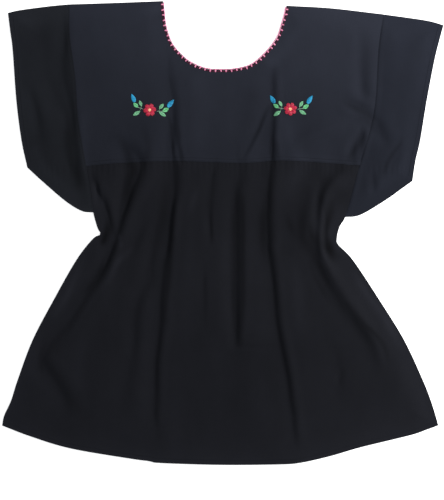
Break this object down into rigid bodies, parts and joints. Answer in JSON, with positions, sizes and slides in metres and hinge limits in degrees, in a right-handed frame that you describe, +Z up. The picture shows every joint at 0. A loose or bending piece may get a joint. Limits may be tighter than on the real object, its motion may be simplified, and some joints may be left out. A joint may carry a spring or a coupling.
{
  "type": "embroidered peasant blouse",
  "caption": "Short-sleeved full peasant blouse of dark cotton, laid flat back up, with a round neck edged in pink thread and a small embroidered flower spray on each side of the yoke.",
  "frame": {"origin": "middle of the blouse's bounding box in plan, at its underside, which rests on the surface", "axes": "+Z up off the surface, +Y from the hem towards the neck, +X to the right of the picture"},
  "size_m": [0.668, 0.7024, 0.0139],
  "materials": {
    "yoke_cloth": "soft plain-woven cotton, charcoal with a blue cast",
    "body_cloth": "soft plain-woven cotton, black",
    "pink_thread": "crocheted cotton thread",
    "red_thread": "satin-stitched embroidery thread",
    "yellow_thread": "embroidery thread",
    "green_thread": "satin-stitched embroidery thread",
    "blue_thread": "satin-stitched embroidery thread"
  },
  "bodies": {
    "root": {"yoke": "yoke_cloth", "sleeve_left": "yoke_cloth", "sleeve_right": "yoke_cloth", "body_back": "body_cloth", "body_front": "body_cloth", "neck_edging_back": "pink_thread", "neck_edging_front": "pink_thread", "flower_left": "red_thread", "flower_centre_left": "yellow_thread", "sprig_left_outer": "green_thread", "bud_left_outer": "blue_thread", "sprig_left_inner": "green_thread", "bud_left_inner": "blue_thread", "flower_right": "red_thread", "flower_centre_right": "yellow_thread", "sprig_right_outer": "green_thread", "bud_right_outer": "blue_thread", "sprig_right_inner": "green_thread", "bud_right_inner": "blue_thread"}
  },
  "joints": []
}
